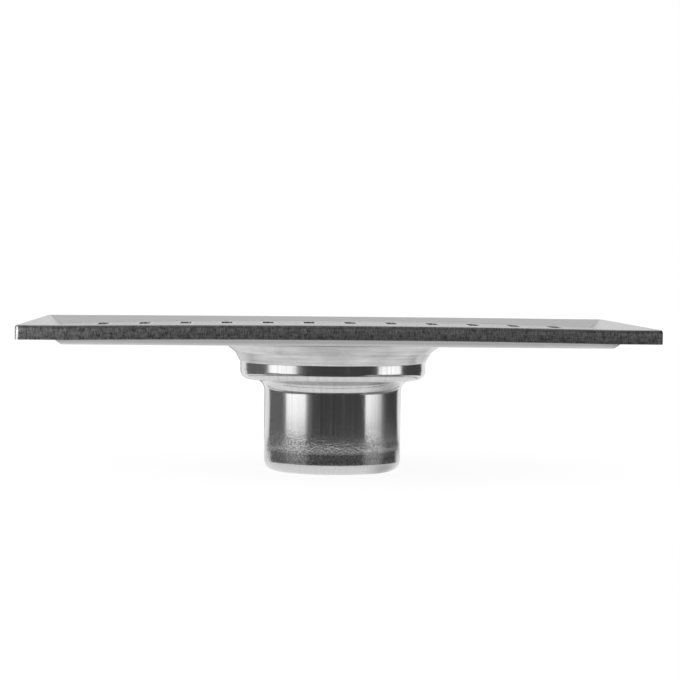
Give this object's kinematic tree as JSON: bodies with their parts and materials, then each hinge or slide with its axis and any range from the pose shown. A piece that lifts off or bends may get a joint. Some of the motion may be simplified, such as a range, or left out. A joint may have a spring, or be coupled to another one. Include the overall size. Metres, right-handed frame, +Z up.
{
  "type": "floor drain",
  "caption": "Rectangular stainless floor drain with a slotted crowned cover, a drawn bowl with a straight outlet spigot, and a lift-out water trap with a hair strainer.",
  "frame": {"origin": "centre of the outlet's lower end, which is the bottom centre of the whole drain", "axes": "+Z up along the outlet, +X along the frame's long side, -Y towards the front edge that the picture shows"},
  "size_m": [0.22, 0.13, 0.0551],
  "materials": {
    "brushed_sheet": "brushed",
    "polished_sheet": "polished",
    "satin_sheet": "satin",
    "turned_steel": "turned",
    "trap_plastic": "moulded",
    "seal_rubber": "matte"
  },
  "bodies": {
    "root": {"top_frame": "brushed_sheet", "drain_bowl": "polished_sheet", "grate": "satin_sheet", "grate_stiffeners": "satin_sheet", "hair_strainer": "polished_sheet", "strainer_knob": "turned_steel", "trap_tube": "trap_plastic", "trap_cup": "trap_plastic", "flange_seal": "seal_rubber"}
  },
  "joints": []
}
